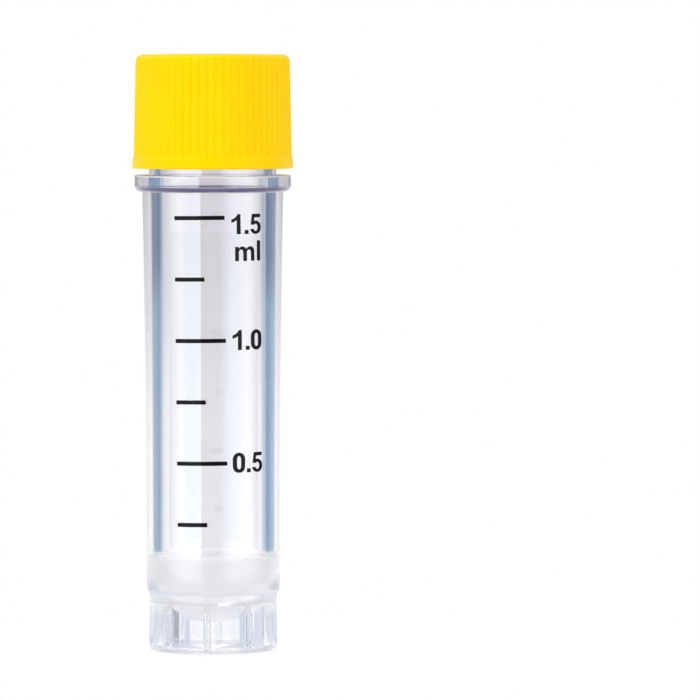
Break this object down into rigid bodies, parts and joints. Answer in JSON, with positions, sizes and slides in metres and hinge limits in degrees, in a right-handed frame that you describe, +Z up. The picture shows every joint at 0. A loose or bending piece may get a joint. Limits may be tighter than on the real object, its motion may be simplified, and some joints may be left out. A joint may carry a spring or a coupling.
{
  "type": "cryovial",
  "caption": "Self-standing screw-cap sample tube with a round-bottomed bore, a ribbed foot, a collar and a finely ribbed cap.",
  "frame": {"origin": "centre of the foot's rim, on the bench that the vial stands on", "axes": "+Z up along the tube's axis to the cap, -Y out through the scale, +X to the right of the scale"},
  "size_m": [0.0125, 0.0124, 0.0463],
  "materials": {
    "clear_plastic": "gloss",
    "yellow_plastic": "satin",
    "silicone": "matte",
    "black_ink": "matte",
    "white_ink": "matte"
  },
  "bodies": {
    "vial_tube": {"tube": "clear_plastic"},
    "cap_washer": {"seal": "silicone"},
    "screw_cap": {"cap": "yellow_plastic"}
  },
  "joints": [
    {"name": "cap_lift", "type": "slide", "parent": "vial_tube", "child": "cap_washer", "axis": [0, 0, 1], "range_m": [0, 0.0075]},
    {"name": "cap_turn", "type": "hinge", "parent": "cap_washer", "child": "screw_cap", "pos_m": [0, 0, 0.04], "axis": [0, 0, 1], "range_deg": [0, 900]}
  ],
  "couplings": [
    {"joint": "cap_turn", "follows": "cap_lift", "rad_per_m": 2094.4}
  ]
}
